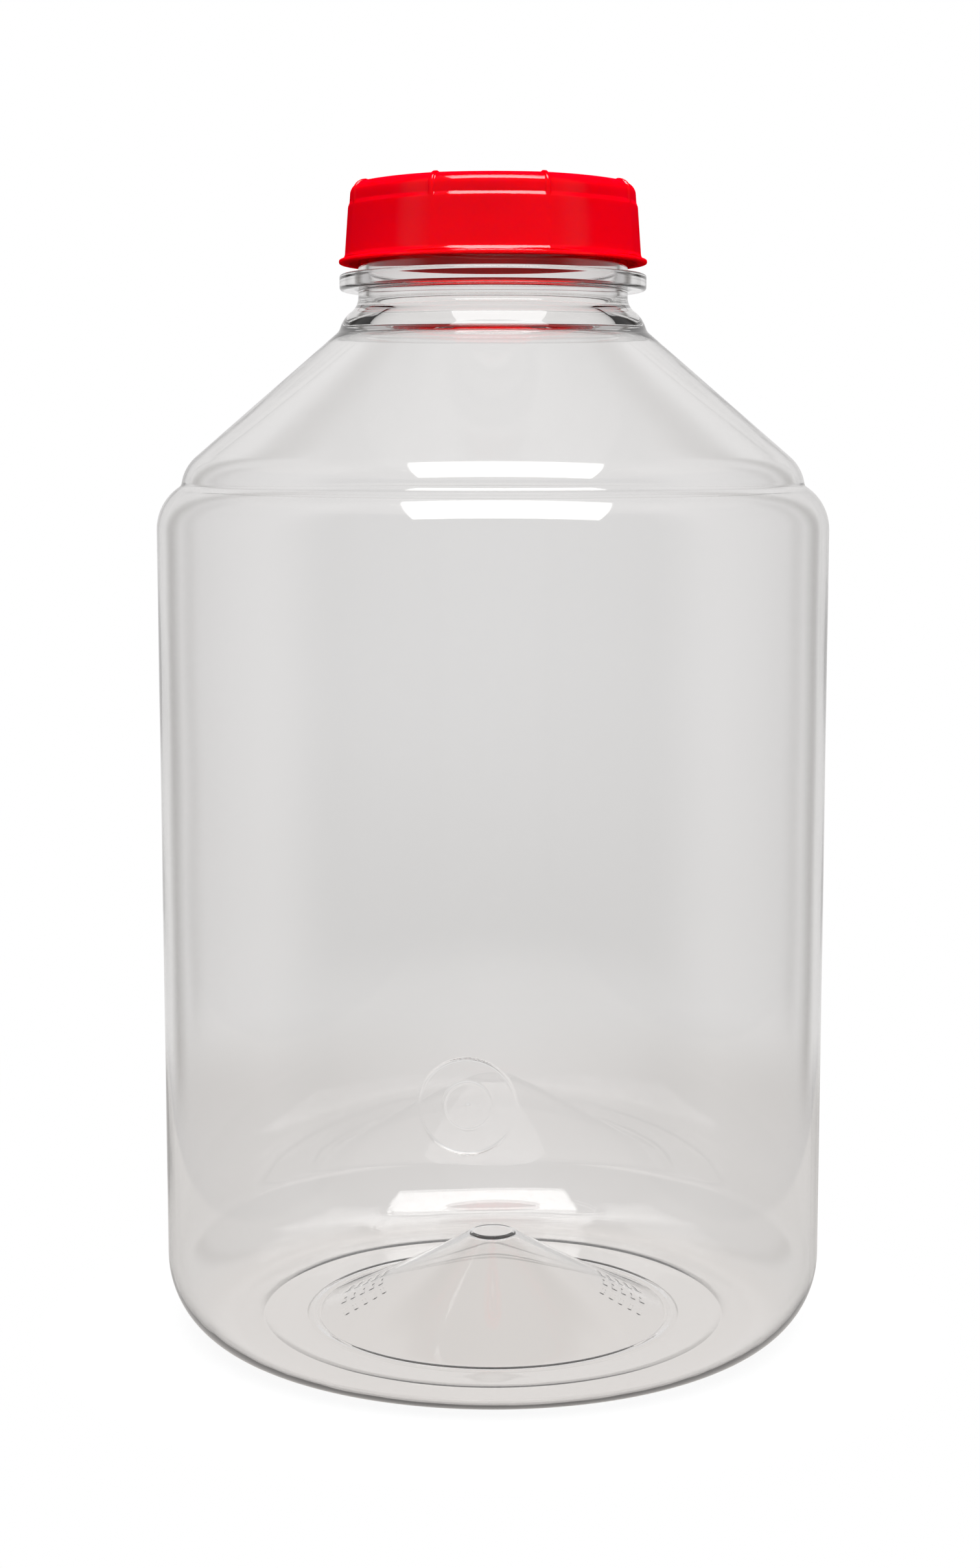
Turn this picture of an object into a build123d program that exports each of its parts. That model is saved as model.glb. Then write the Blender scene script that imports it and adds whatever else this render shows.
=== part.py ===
from build123d import *
from math import atan, cos, degrees, hypot, radians, sin, sqrt, tan
import os

# A wide-mouth water jug with a screw lid, in three pieces: a blown clear shell, a red lid and the
# sealing ring between them. Millimetres, +Z up along the jug's axis, origin at the centre of the
# standing plane, front towards -Y. Outlines are drawn as (radius, height) and turned about the axis.

# ---- Shell: driving dimensions ----
BODY_RADIUS = 139.0  # outside of the straight wall
BODY_WALL = 1.1
BASE_WALL = 1.8
FOOT_RADIUS = 110.4  # outer edge of the flat standing ring
HEEL_HEIGHT = 32.4  # where the rounded heel meets the straight wall
CORNER_START = 338.0  # where the straight wall starts to round over
CORNER_RADIUS = 21.0
SHOULDER_RADIUS = 18.0
SHOULDER_CENTRE = (110.8, 354.2)
NOTCH_BLEND = 1.2  # fillet in the notch between the rounded corner and the shoulder
CONE_RISE = 40.8  # degrees that the cone rises above the horizontal
CONE_TOP_RADIUS = 63.3
CONE_TOP_WALL = 1.3

# ---- Punt: the hollow pushed up into the base ----
PUNT_RADIUS = 74.5
PUNT_HEIGHT = 36.7  # upper face of the punt's flat tip
PUNT_WALL = 2.2
PUNT_TIP_RADIUS = 9.0
PUNT_CURVE = 1.15  # above 1 makes the flank steeper near the tip
PUNT_POINTS = 7
RIM_BEAD_RADIUS = 80.5  # outer edge of the rounded bead around the punt
RIM_BEAD_HEIGHT = 0.8
SEAM_RADIUS = 98.7  # fine ring where the mould's base insert meets its walls
SEAM_DEPTH = 0.1
SEAM_WIDTH = 1.0
TICK_RADII = (48.0, 52.0, 56.0, 60.0, 64.0)  # rows of short raised ticks under the punt's flank
TICK_TURNS = (-13.0, 0.0, 13.0)  # degrees about each side of the jug
TICK_LENGTH = 8.0
TICK_WIDTH = 1.4
TICK_HEIGHT = 1.2  # half of it sinks into the flank

# ---- Spigot pad: a flat round seat on the front wall ----
PAD_RADIUS = 18.5
PAD_HEIGHT = 126.8
PAD_TURN = -4.0  # degrees from the front towards -X
PAD_DEPTH = 1.4
PAD_WALL = 1.2

# ---- Neck ----
NECK_RADIUS = 55.4
BORE_RADIUS = 51.2
SHELF_RADIUS = 64.0  # the cone's inner face ends here, under the neck's thick foot
SHELF_BLEND = 1.5
NECK_FOOT = 428.6
NECK_FOOT_BLEND = 5.0
BEAD_RADIUS = 13.5  # rounded step between the cone and the neck
RING_RADIUS = 63.1
RING_BOTTOM = 435.3
RING_TOP = 441.8
NECK_BLEND = 1.0  # rounding of the ring's and the rim's edges
RIM_HEIGHT = 474.0

# ---- Screw thread ----
THREAD_PITCH = 8.0
THREAD_TURNS = 1.5
THREAD_START = 455.0
THREAD_ROOT_WIDTH = 3.4
THREAD_CREST_WIDTH = 1.5
NECK_THREAD_CREST = 57.0
LID_THREAD_CREST = 56.0
THREAD_SINK = 0.4  # how far a thread's root runs into the wall that carries it
FLANK_OFFSET = 2.4  # the lid's thread sits this far below the neck's

# ---- Lid ----
PANELS = 8
PANEL_TURN = -1.4  # degrees from the front towards -X, to the middle of the front panel
PANEL_CURVE = 75.0  # radius of each panel's face at its foot, flatter than the lid is round
LID_BOTTOM = 446.2
LID_TOP = 478.2
BRIM_RADIUS = 63.3
BRIM_THICKNESS = 1.6
BRIM_EDGE = 0.7
FLARE_RADIUS = 62.0  # middle of a panel where its flared foot stands on the brim
FLARE_HEIGHT = 449.4  # top of the flare
FLARE_BLEND = 2.0
SKIRT_FOOT_RADIUS = 60.8  # middle of a panel, just above the flare
SKIRT_DRAFT = 4.2  # degrees
LEDGE_FOOT = 468.9  # the panels lean in here, up to the band
LEDGE_TOP = 470.5
LEDGE_STEP = 0.5
LEDGE_BLEND = 0.5
CROWN_RADIUS = 4.4  # rounding from the band to the top
RECESS_RADIUS = 47.0
RECESS_DEPTH = 0.6
RIB_DEGREES = 2.4
RIB_RISE = 0.6
RIB_DEPTH = 2.0  # how far a rib reaches into the wall that carries it
LID_BORE_FOOT = 58.9
LID_BORE_TOP = 57.4
SEAT_FOOT = 472.4  # where the lid's bore closes in around the sealing ring
SEAT_RADIUS = 56.4
SEAT_HEIGHT = 476.2

# ---- Sealing ring ----
GASKET_OUTER = 56.0
GASKET_INNER = 50.4
GASKET_GAP = 0.03

# ---- Values that follow from the above ----
CONE_NORMAL = (sin(radians(CONE_RISE)), cos(radians(CONE_RISE)))
CORNER_CENTRE = (BODY_RADIUS - CORNER_RADIUS, CORNER_START)
FRONT = -90.0  # the front's direction, in degrees from +X
PAD_FACE = BODY_RADIUS - PAD_DEPTH
LID_THREAD_START = THREAD_START - FLANK_OFFSET
HALF_PANEL = 180.0 / PANELS
PANEL_AXIS = PANEL_CURVE - SKIRT_FOOT_RADIUS  # how far behind the jug's axis a panel's own axis lies
OVERCUT = 5.0  # how far a cutting shape runs on past the face it opens


def on_circle(centre, radius, normal):
    """The point of a circle whose outward normal is the given unit vector."""
    return (centre[0] + radius * normal[0], centre[1] + radius * normal[1])


def outer_meeting(centre_a, radius_a, centre_b, radius_b):
    """The outer of the two points where two circles cross."""
    run = centre_b[0] - centre_a[0]
    rise = centre_b[1] - centre_a[1]
    gap = hypot(run, rise)
    along = (radius_a**2 - radius_b**2 + gap**2) / (2 * gap)
    across = sqrt(radius_a**2 - along**2)
    return (
        centre_a[0] + (along * run + across * rise) / gap,
        centre_a[1] + (along * rise - across * run) / gap,
    )


def cone_height(radius, wall=0.0):
    """Height of the cone's face at a radius, that far inside its outer face."""
    centre = SHOULDER_CENTRE
    reach = centre[0] * CONE_NORMAL[0] + centre[1] * CONE_NORMAL[1] + SHOULDER_RADIUS - wall
    return (reach - radius * CONE_NORMAL[0]) / CONE_NORMAL[1]


def corner(sketch, radius, height):
    """The corner of a sketch that lies closest to a place."""
    return sketch.vertices().sort_by_distance((radius, height))[0]


def rounded(sketch, radius, height, blend):
    """The sketch with the corner nearest to a place rounded off."""
    return fillet(corner(sketch, radius, height), blend)


def turned(outline):
    """The solid that a (radius, height) outline sweeps about the jug's axis."""
    return revolve(Plane.XZ * outline, axis=Axis.Z)


def punt_height(radius, tip, foot):
    """Height of a punt face at a radius, from foot at its edge to tip at its flat."""
    share = (PUNT_RADIUS - radius) / (PUNT_RADIUS - PUNT_TIP_RADIUS)
    return foot + (tip - foot) * share**PUNT_CURVE


def punt_curve(tip, foot):
    """The flank of the punt, from its flat tip out to its edge."""
    step = (PUNT_RADIUS - PUNT_TIP_RADIUS) / (PUNT_POINTS - 1)
    radii = [PUNT_TIP_RADIUS + step * i for i in range(PUNT_POINTS)]
    return Spline([(r, punt_height(r, tip, foot)) for r in radii])


def base_line(lift, wall):
    """The base from the axis to the heel: the underside for lift 0, else the inside."""
    tip = PUNT_HEIGHT - (0 if lift else PUNT_WALL)
    foot = lift + RIM_BEAD_HEIGHT / 2
    bead_middle = (PUNT_RADIUS + RIM_BEAD_RADIUS) / 2
    line = Line((0, tip), (PUNT_TIP_RADIUS, tip)) + punt_curve(tip, foot)
    line += ThreePointArc(
        (PUNT_RADIUS, foot), (bead_middle, lift + RIM_BEAD_HEIGHT), (RIM_BEAD_RADIUS, lift)
    )
    line += Line((RIM_BEAD_RADIUS, lift), (FOOT_RADIUS, lift))
    line += EllipticalCenterArc(
        (FOOT_RADIUS, HEEL_HEIGHT),
        BODY_RADIUS - wall - FOOT_RADIUS,
        HEEL_HEIGHT - lift,
        start_angle=270,
        arc_size=90,
    )
    return line


def wall_line(wall):
    """The wall from the heel up to the start of the cone, that far inside its outer face."""
    notch = outer_meeting(
        CORNER_CENTRE, CORNER_RADIUS - wall, SHOULDER_CENTRE, SHOULDER_RADIUS - wall
    )
    cone_start = on_circle(SHOULDER_CENTRE, SHOULDER_RADIUS - wall, CONE_NORMAL)
    corner_start = (BODY_RADIUS - wall, CORNER_START)
    line = Line((BODY_RADIUS - wall, HEEL_HEIGHT), corner_start)
    line += RadiusArc(corner_start, notch, -(CORNER_RADIUS - wall))
    line += RadiusArc(notch, cone_start, -(SHOULDER_RADIUS - wall))
    return line, notch, cone_start


def shell_outside():
    """Everything inside the shell's outer face, as a half outline."""
    wall, notch, cone_start = wall_line(0)
    cone_top = (CONE_TOP_RADIUS, cone_height(CONE_TOP_RADIUS))
    neck_foot = (NECK_RADIUS, NECK_FOOT)
    line = base_line(0, 0) + wall
    line += Line(cone_start, cone_top)
    line += RadiusArc(cone_top, neck_foot, -BEAD_RADIUS)
    line += Polyline(
        neck_foot,
        (NECK_RADIUS, RING_BOTTOM),
        (RING_RADIUS, RING_BOTTOM),
        (RING_RADIUS, RING_TOP),
        (NECK_RADIUS, RING_TOP),
        (NECK_RADIUS, RIM_HEIGHT),
        (0, RIM_HEIGHT),
        (0, PUNT_HEIGHT - PUNT_WALL),
    )
    face = make_face(line)
    face = rounded(face, *notch, NOTCH_BLEND)
    face = rounded(face, *neck_foot, NECK_FOOT_BLEND)
    for height in (RING_BOTTOM, RING_TOP):
        face = rounded(face, RING_RADIUS, height, NECK_BLEND)
        face = rounded(face, NECK_RADIUS, height, NECK_BLEND)
    return rounded(face, NECK_RADIUS, RIM_HEIGHT, NECK_BLEND)


def shell_inside():
    """The hollow inside the shell, as a half outline that runs out through the mouth."""
    wall, notch, cone_start = wall_line(BODY_WALL)
    shelf = cone_height(SHELF_RADIUS, CONE_TOP_WALL)
    over_rim = RIM_HEIGHT + OVERCUT
    line = base_line(BASE_WALL, BODY_WALL) + wall
    line += Polyline(
        cone_start,
        (SHELF_RADIUS, shelf),
        (BORE_RADIUS, shelf),
        (BORE_RADIUS, over_rim),
        (0, over_rim),
        (0, PUNT_HEIGHT),
    )
    face = make_face(line)
    face = rounded(face, *notch, NOTCH_BLEND + BODY_WALL)
    face = rounded(face, SHELF_RADIUS, shelf, SHELF_BLEND)
    return rounded(face, BORE_RADIUS, shelf, SHELF_BLEND)


def seam_groove():
    """The fine groove that the base insert leaves around the standing ring."""
    half = SEAM_WIDTH / 2
    return make_face(
        Polyline(
            (SEAM_RADIUS - half, 0), (SEAM_RADIUS, SEAM_DEPTH), (SEAM_RADIUS + half, 0), close=True
        )
    )


def thread(root_radius, crest_radius, start):
    """One turning ridge of trapezoid section that rises from start."""
    path = Helix(THREAD_PITCH, THREAD_PITCH * THREAD_TURNS, root_radius)
    reach = crest_radius - root_radius
    root = THREAD_ROOT_WIDTH / 2
    crest = THREAD_CREST_WIDTH / 2
    section = make_face(Polyline((0, -root), (reach, -crest), (reach, crest), (0, root), close=True))
    place = Plane(origin=path @ 0, x_dir=(1, 0, 0), z_dir=path % 0)
    return Pos(0, 0, start) * sweep(place * section, path=path, is_frenet=True)


def tick_row(radius):
    """The short raised ticks at one radius, on the right and the left of the punt's underside."""
    tip = PUNT_HEIGHT - PUNT_WALL
    foot = RIM_BEAD_HEIGHT / 2
    half = TICK_WIDTH / 2
    drop = punt_height(radius - half, tip, foot) - punt_height(radius + half, tip, foot)
    tilt = Rot(0, degrees(atan(drop / TICK_WIDTH)), 0)
    tick = tilt * Box(TICK_WIDTH, TICK_LENGTH, TICK_HEIGHT)
    tick = Pos(radius, 0, punt_height(radius, tip, foot)) * tick
    return [Rot(0, 0, side + turn) * tick for side in (0, 180) for turn in TICK_TURNS]


def jug_body():
    """The clear shell with its punt, spigot pad, neck ring and thread."""
    outside = shell_outside()
    shell = turned(outside - shell_inside() - seam_groove())
    pad_place = Rot(0, 0, FRONT + PAD_TURN) * Pos(PAD_FACE, 0, PAD_HEIGHT) * Rot(0, 90, 0)
    seat = Cylinder(PAD_RADIUS + PAD_WALL, 2 * PAD_WALL)
    pocket = Cylinder(PAD_RADIUS, OVERCUT, align=(Align.CENTER, Align.CENTER, Align.MIN))
    shell += (pad_place * seat) & turned(outside)
    shell -= pad_place * pocket
    for radius in TICK_RADII:
        shell += tick_row(radius)
    return shell + thread(NECK_RADIUS - THREAD_SINK, NECK_THREAD_CREST, THREAD_START)


def skirt_radius(height):
    """Radius of the middle of a panel at a height."""
    return SKIRT_FOOT_RADIUS - (height - FLARE_HEIGHT) * tan(radians(SKIRT_DRAFT))


def panel_meeting(middle_radius):
    """How far out two panels meet when their middles are that far out."""
    aside = PANEL_AXIS * sin(radians(HALF_PANEL))
    return sqrt((middle_radius + PANEL_AXIS) ** 2 - aside**2) - PANEL_AXIS * cos(radians(HALF_PANEL))


def lid_panels():
    """The lid above its brim, before it is hollowed.

    It is what eight wide discs have in common, each turned about its own panel's axis.
    """
    foot = LID_BOTTOM + BRIM_THICKNESS - BRIM_EDGE
    ledge_out = (skirt_radius(LEDGE_FOOT) + PANEL_AXIS, LEDGE_FOOT)
    ledge_in = (skirt_radius(LEDGE_TOP) - LEDGE_STEP + PANEL_AXIS, LEDGE_TOP)
    crown = (skirt_radius(LID_TOP) - LEDGE_STEP + PANEL_AXIS, LID_TOP)
    outline = make_face(
        Polyline(
            (0, foot),
            (FLARE_RADIUS + PANEL_AXIS, foot),
            (PANEL_CURVE, FLARE_HEIGHT),
            ledge_out,
            ledge_in,
            crown,
            (0, LID_TOP),
            close=True,
        )
    )
    outline = rounded(outline, PANEL_CURVE, FLARE_HEIGHT, FLARE_BLEND)
    outline = rounded(outline, *ledge_out, LEDGE_BLEND)
    outline = rounded(outline, *ledge_in, LEDGE_BLEND)
    outline = rounded(outline, *crown, CROWN_RADIUS)
    disc = Pos(-PANEL_AXIS, 0, 0) * turned(outline)
    block = disc
    for index in range(1, PANELS):
        block &= Rot(0, 0, index * 2 * HALF_PANEL) * disc
    return block


def lid_ribs():
    """The eight raised ribs that cross the ledge, the band and the crown where the panels meet."""
    face = panel_meeting(skirt_radius(LEDGE_TOP) - LEDGE_STEP) + RIB_RISE
    top = LID_TOP + RIB_RISE
    inner = face - CROWN_RADIUS - RIB_DEPTH
    outline = make_face(
        Polyline(
            (face, LEDGE_FOOT),
            (face, top),
            (inner, top),
            (inner, LID_TOP - RIB_DEPTH),
            (face - RIB_DEPTH, LEDGE_FOOT),
            close=True,
        )
    )
    outline = rounded(outline, face, top, CROWN_RADIUS + RIB_RISE)
    rib = revolve(Plane.XZ * outline, axis=Axis.Z, revolution_arc=RIB_DEGREES)
    first = FRONT + PANEL_TURN + HALF_PANEL - RIB_DEGREES / 2
    return [Rot(0, 0, first + index * 2 * HALF_PANEL) * rib for index in range(PANELS)]


def lid_brim():
    """The thin round brim."""
    top = LID_BOTTOM + BRIM_THICKNESS
    outline = make_face(
        Polyline(
            (0, LID_BOTTOM), (BRIM_RADIUS, LID_BOTTOM), (BRIM_RADIUS, top), (0, top), close=True
        )
    )
    outline = rounded(outline, BRIM_RADIUS, top, BRIM_EDGE)
    return turned(rounded(outline, BRIM_RADIUS, LID_BOTTOM, BRIM_EDGE))


def lid_hollow():
    """The lid's bore and the seat for the sealing ring."""
    under = LID_BOTTOM - OVERCUT
    outline = make_face(
        Polyline(
            (0, under),
            (LID_BORE_FOOT, under),
            (LID_BORE_TOP, SEAT_FOOT),
            (SEAT_RADIUS, SEAT_FOOT),
            (SEAT_RADIUS, SEAT_HEIGHT),
            (0, SEAT_HEIGHT),
            close=True,
        )
    )
    return turned(outline)


def screw_lid():
    """The red lid with its panels, ribs, brim, inner thread and shallow recessed top."""
    lid = Rot(0, 0, FRONT + PANEL_TURN) * lid_panels()
    lid += lid_ribs()
    lid += lid_brim()
    lid -= lid_hollow()
    lid -= Pos(0, 0, LID_TOP) * Cylinder(RECESS_RADIUS, 2 * RECESS_DEPTH)
    return lid + thread(LID_BORE_FOOT - THREAD_SINK, LID_THREAD_CREST, LID_THREAD_START)


def lid_gasket():
    """The soft ring that seals the lid on the neck's rim."""
    height = SEAT_HEIGHT - RIM_HEIGHT - 2 * GASKET_GAP
    ring = Circle(GASKET_OUTER) - Circle(GASKET_INNER)
    return extrude(Pos(0, 0, RIM_HEIGHT + GASKET_GAP) * ring, height)


os.makedirs("parts", exist_ok=True)
for name, piece in {"jug_body": jug_body, "screw_lid": screw_lid, "lid_gasket": lid_gasket}.items():
    export_step(piece(), f"parts/{name}.step")
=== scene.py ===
from math import cos, pi, radians, sin, tan

import bpy
import numpy as np
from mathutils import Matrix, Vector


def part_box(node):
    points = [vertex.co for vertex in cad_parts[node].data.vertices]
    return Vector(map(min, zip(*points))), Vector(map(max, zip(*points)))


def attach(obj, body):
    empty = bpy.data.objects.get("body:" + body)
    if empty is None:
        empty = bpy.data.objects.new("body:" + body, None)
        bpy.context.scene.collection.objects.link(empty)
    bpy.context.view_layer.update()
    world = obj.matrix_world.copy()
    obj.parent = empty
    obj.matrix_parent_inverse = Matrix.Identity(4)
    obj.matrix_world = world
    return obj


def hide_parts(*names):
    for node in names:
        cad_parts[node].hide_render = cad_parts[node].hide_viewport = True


# The looks of a wide-mouth water jug: a blown clear shell, a red screw lid and its sealing ring.
# Each piece is an outline of (radius, height) points in millimetres, turned about the jug's axis,
# with its thread, panels, ribs, pad and ticks formed as it turns. The front is towards -Y.
# A blend is how far back from a corner its rounding begins.

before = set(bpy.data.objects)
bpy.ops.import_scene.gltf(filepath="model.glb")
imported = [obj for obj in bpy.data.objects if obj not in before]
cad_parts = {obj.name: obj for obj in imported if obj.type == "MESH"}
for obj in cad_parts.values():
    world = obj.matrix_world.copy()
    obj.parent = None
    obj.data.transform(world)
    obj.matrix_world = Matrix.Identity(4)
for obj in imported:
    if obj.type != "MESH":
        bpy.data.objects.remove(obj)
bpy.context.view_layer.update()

MM = 0.001
FRONT = radians(-90)

# ---- Sizes that the frame gives ----
shell_low, shell_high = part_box("jug_body")
lid_low, lid_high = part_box("screw_lid")
ring_low, ring_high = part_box("lid_gasket")
BODY_RADIUS = (shell_high.y - shell_low.y) / 2 / MM
RIM_HEIGHT = shell_high.z / MM
BRIM_RADIUS = (lid_high.x - lid_low.x) / 2 / MM
LID_BOTTOM = lid_low.z / MM
SEAL_BOTTOM = ring_low.z / MM
SEAL_TOP = ring_high.z / MM
SEAL_OUTER = (ring_high.x - ring_low.x) / 2 / MM

# ---- Body of the shell ----
BODY_WALL = 1.1
BASE_WALL = 1.8
FOOT_RADIUS = 110.4
HEEL_HEIGHT = 32.4
CORNER_START = 338.0
CORNER_RADIUS = 21.0
SHOULDER_RADIUS = 18.0
SHOULDER_CENTRE = (110.8, 354.2)
NOTCH_BLEND = 1.2
NOTCH_INNER_BLEND = 2.0
CONE_RISE = radians(40.8)
CONE_TOP_RADIUS = 63.3
CONE_TOP_WALL = 1.3
CONE_TOP_BLEND = 1.6
WALL_ZONE = 3.0  # both faces of the wall lie within this of the body's outside
WALL_WAVE = 0.05  # how far the blown wall strays from true
WAVES = ((3, 0.031), (5, -0.047), (8, 0.064))  # each one's lobes, and its lean per mm of height
WAVE_RISE = 40.0  # the height above the heel over which the waves set in
WAVE_FALL = 30.0  # the height below the rounded corner over which they die out

# ---- Base ----
PUNT_RADIUS = 74.5
PUNT_HEIGHT = 36.7
PUNT_WALL = 2.2
PUNT_TIP_RADIUS = 9.0
PUNT_TIP_BLEND = 0.9
PUNT_CURVE = 1.15  # the power by which its flank rises, 1 for a straight cone
RIM_BEAD_RADIUS = 80.5
RIM_BEAD_HEIGHT = 0.7
SEAM_RADIUS = 98.7
SEAM_DEPTH = 0.08
SEAM_WIDTH = 1.0
TICK_RADII = (48.0, 52.0, 56.0, 60.0, 64.0)
TICK_TURNS = (radians(-13), 0.0, radians(13))  # about each side of the jug
TICK_LENGTH = 8.0
TICK_WIDTH = 1.4
TICK_END = 1.2  # the length over which each end of a tick rises
TICK_RISE = 0.3

# ---- Spigot pad ----
PAD_RADIUS = 18.5
PAD_HEIGHT = 126.8
PAD_TURN = radians(-4)
PAD_DEPTH = 1.4
PAD_WALL = 1.2
PAD_EDGE = 0.8  # the width of the step down to the pad
PAD_INSIDE = 0.2  # how much wider the pad is on the wall's inside
PAD_RING_RADIUS = 9.0  # a faint second ring inside the pad
PAD_RING_WIDTH = 1.6
PAD_RING_DEPTH = 0.12
PUNCH_RADIUS = 1.4  # of the dot at its middle
PUNCH_DEPTH = 0.3

# ---- Neck ----
NECK_RADIUS = 55.4
BORE_RADIUS = 51.2
SHELF_RADIUS = 64.0
SHELF_BLEND = 1.5
NECK_FOOT = 428.6
NECK_FOOT_BLEND = 4.5
BEAD_RADIUS = 13.5  # of the rounded foot between cone and neck
RING_RADIUS = 63.1
RING_BOTTOM = 435.3
RING_TOP = 441.8
RING_ROOT_BLEND = 0.8
RING_LOWER_BLEND = 1.6
RING_UPPER_BLEND = 1.2
RIM_BLEND = 1.0

# ---- Screw thread ----
THREAD_PITCH = 8.0
THREAD_TURNS = 1.5
THREAD_START = 455.0
THREAD_ROOT = 3.4
THREAD_CREST = 1.5
NECK_THREAD_HEIGHT = 1.6
LID_THREAD_HEIGHT = 2.0
FLANK_OFFSET = 2.4
THREAD_FADE = radians(14)  # how far round each end of the thread takes to rise

# ---- Lid ----
PANELS = 8
PANEL_TURN = radians(-1.4)
PANEL_CURVE = 75.0
LID_TOP = 478.2
BRIM_THICKNESS = 1.6
BRIM_EDGE = 0.7
FLARE_RADIUS = 61.7
FLARE_HEIGHT = 449.4
FLARE_BLEND = 0.4
SKIRT_FOOT_RADIUS = 60.8
SKIRT_FOOT_BLEND = 0.8
SKIRT_DRAFT = radians(4.2)
PANEL = 2 * pi / PANELS
PANEL_AXIS = PANEL_CURVE - SKIRT_FOOT_RADIUS
PANEL_FOOT_FADE = (0.1, 0.5)  # above the brim, where the skirt turns from round to panelled
PANEL_TOP_FADE = (1.0, 4.0)  # outside the recess, where the top does
LEDGE_FOOT = 468.9
LEDGE_TOP = 470.5
LEDGE_STEP = 0.5
LEDGE_BLEND = 0.4
CROWN_RADIUS = 4.4
RECESS_RADIUS = 47.0
RECESS_DEPTH = 0.6
RECESS_FOOT_BLEND = 0.7
RECESS_EDGE_BLEND = 0.6
RIB_WIDTH = 2.5
RIB_CREST = 1.0
RIB_RISE = 0.6
RIB_DEPTH = 2.0  # how far in over the top it reaches
RIB_FOOT_FADE = 0.2
LID_BORE_FOOT = 58.9
LID_BORE_TOP = 57.4
BORE_FOOT_BLEND = 0.5
BORE_TOP_BLEND = 0.3
SEAT_FOOT = 472.4
SEAT_FOOT_BLEND = 0.15
SEAT_RADIUS = 56.4
SEAT_HEIGHT = 476.2
SEAT_BLEND = 0.4
LID_THREAD_BOTTOM = LID_BOTTOM + 1.0
LID_THREAD_TOP = SEAT_FOOT - 0.5
SEAL_INNER = 50.4
SEAL_BLEND = 0.4

# ---- Mesh detail: row steps in mm, other steps and zones as angles about the axis ----
FLANK_POINTS = 110
PAD_MARGIN = 2.0
PAD_ROW_STEP = 0.4
THREAD_MARGIN = 1.0
THREAD_ROW_STEP = 0.55
SHELL_STEP = radians(1.5)
TICK_STEP = radians(0.5)
TICK_ZONE = TICK_TURNS[-1] + radians(6)
PAD_STEP = radians(0.15)
PAD_ZONE = radians(8.5)
LID_STEP = radians(1.25)
RIB_STEP = radians(0.2)
RIB_ZONE = radians(1.6)
SEAL_STEP = radians(3)

# ---- Camera, in body radii from the jug's axis and its standing plane ----
CAMERA_DISTANCE = 7.73
CAMERA_HEIGHT = 2.66
CAMERA_SHIFT = -0.0088
CAMERA_TILT = radians(7.37)
LENS = 58.9

# ---- Studio, with floor sizes in metres ----
ROOM_EDGE = radians(5)  # half the width of the soft edge of each wall
BACKDROP_HALF_WIDTH = radians(36)
BACKDROP_FADE = radians(14)  # it dims from its middle out to here
BACKDROP_TOP = radians(55)
BACKDROP_TOP_EDGE = 0.06  # half the width of its soft edge, as a sine
BACKDROP_FOOT = (-0.07, -0.2)  # it dims towards its foot between these, as sines
BACKDROP_GLOW = (0.870, 0.862, 0.862, 1)
BACKDROP_SIDE_GLOW = (0.755, 0.745, 0.742, 1)
BACKDROP_FOOT_GLOW = (0.79, 0.78, 0.775, 1)
GAP_HALF_WIDTH = radians(46)  # a dark gap shows between the backdrop and the side walls
GAP_GLOW = (0.20, 0.19, 0.18, 1)
SIDE_GLOW = (0.50, 0.49, 0.49, 1)
CEILING_GLOW = (0.30, 0.30, 0.30, 1)
FRONT_GLOW = (0.09, 0.09, 0.09, 1)
FRONT_START = radians(95)  # the side walls darken from here to the room behind the camera
FRONT_END = radians(125)
SOFTBOX_GLOW = (14.0, 14.0, 14.0, 1)
SOFTBOX_MIRRORED = (4.5, 4.5, 4.5, 1)  # as the polished shell shows it
SOFTBOX_RISE = radians(44)  # how far above the level the softbox's plane faces the jug from
SOFTBOX_SIDES = (-0.44, 0.61)  # its left and right edges, in its distances from the jug
SOFTBOX_ENDS = (-0.02, 0.88)  # its lower and upper edges
SOFTBOX_EDGE = 0.012  # half the width of each soft edge
SOFTBOX_REACH = 0.01  # only what heads at least this much towards its plane can meet it
FLOOR_RADIUS = 0.65
FLOOR_FADE = (0.6, 0.98)  # it turns to nothing between these shares of its radius
FLOOR_DROP = 0.0002
FLOOR_TONE = 0.7
# As the jug sees it, the paper glows with painted light in place of lit paper.
PAPER_HALF_WIDTH = 0.33
PAPER_EDGE = 0.01  # half the width of its soft edge
PAPER_FADE = 0.2  # its painted light dims from the middle line out to here
PAPER_GLOW = (0.79, 0.77, 0.76, 1)
PAPER_SIDE_GLOW = (0.665, 0.645, 0.630, 1)
PAINTED_SHADE_GLOW = (0.735, 0.70, 0.675, 1)  # painted shade: the glow of the paper right under the jug
PAINTED_SHADE_RADII = (0.15, 0.11)
SHADOW_RADII = (0.2, 0.12)  # the jug's faint shadow grows between these
SHADOW_SHARE = 0.08


# ---------------------------------------------------------------- outlines

def straight(start, end, step=6.0):
    """Points from start to end, no further apart than step."""
    count = max(2, int(np.hypot(end[0] - start[0], end[1] - start[1]) / step) + 2)
    return np.linspace(start, end, count)


def arc(centre, radii, first, last, count=14):
    """Points of an ellipse's arc, between two angles above its outward horizontal."""
    angles = np.linspace(first, last, count)
    return np.column_stack(
        (centre[0] + radii[0] * np.cos(angles), centre[1] + radii[1] * np.sin(angles))
    )


def bulge(start, end, radius, count=12):
    """An arc from start up to end that swells outwards with this radius."""
    start, end = np.array(start), np.array(end)
    chord = end - start
    length = np.hypot(*chord)
    out = np.array((chord[1], -chord[0])) / length
    centre = (start + end) / 2 - out * np.sqrt(radius**2 - length**2 / 4)
    first = np.arctan2(*(start - centre)[::-1])
    last = np.arctan2(*(end - centre)[::-1])
    return arc(centre, (radius, radius), first, last, count)


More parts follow.
